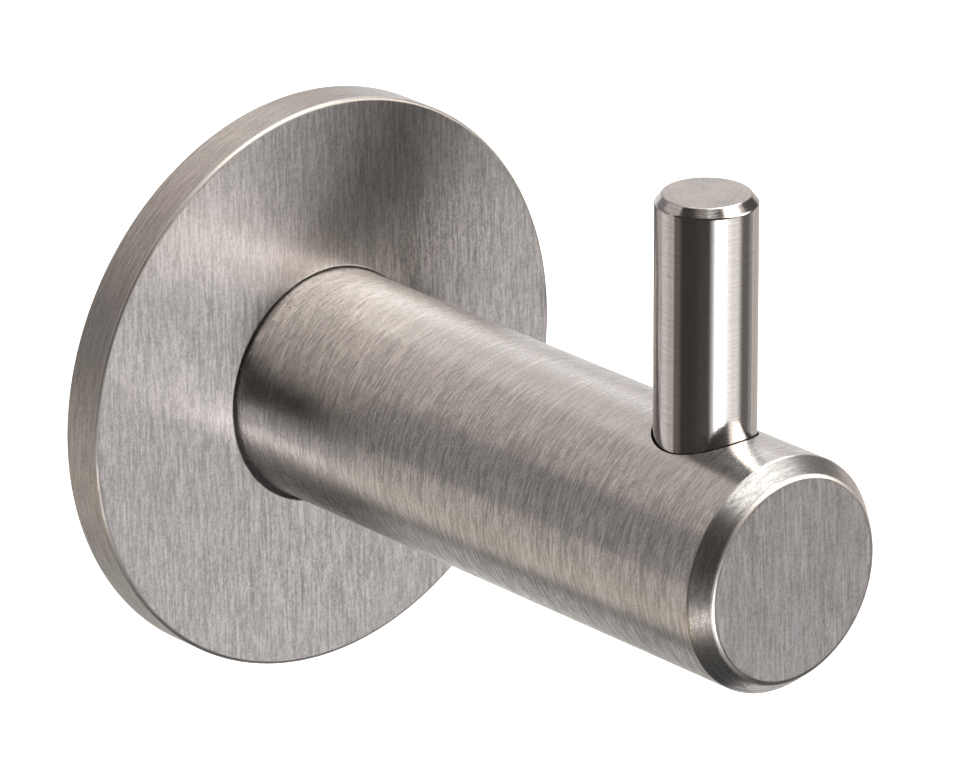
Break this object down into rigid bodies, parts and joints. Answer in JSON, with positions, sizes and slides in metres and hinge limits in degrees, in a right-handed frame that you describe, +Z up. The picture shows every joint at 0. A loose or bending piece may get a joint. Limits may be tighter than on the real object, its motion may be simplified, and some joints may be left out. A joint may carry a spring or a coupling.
{
  "type": "coat hook",
  "caption": "Brushed stainless coat hook: thick round bar standing out of a flat round rose, with an upright peg near its end and a concealed wall plate.",
  "frame": {"origin": "on the wall plane, on the bar's axis, midway between the two wall screws", "axes": "+Z up along the peg, +Y into the wall along the bar's axis, +X to the right of someone facing the wall"},
  "size_m": [0.05, 0.0618, 0.0551],
  "materials": {
    "rose_steel": "straight brushed stainless steel face, turned rim",
    "bar_steel": "ground round the bar, straight brushed end face",
    "peg_steel": "finely ground, nearly bright",
    "plate_steel": "plain rolled stainless sheet",
    "spigot_steel": "turned stainless steel",
    "screw_steel": "plain stainless set screw"
  },
  "bodies": {
    "root": {"cover_rose": "rose_steel", "hook_bar": "bar_steel", "peg": "peg_steel", "wall_plate": "plate_steel", "spigot": "spigot_steel", "grub_screw": "screw_steel"}
  },
  "joints": []
}
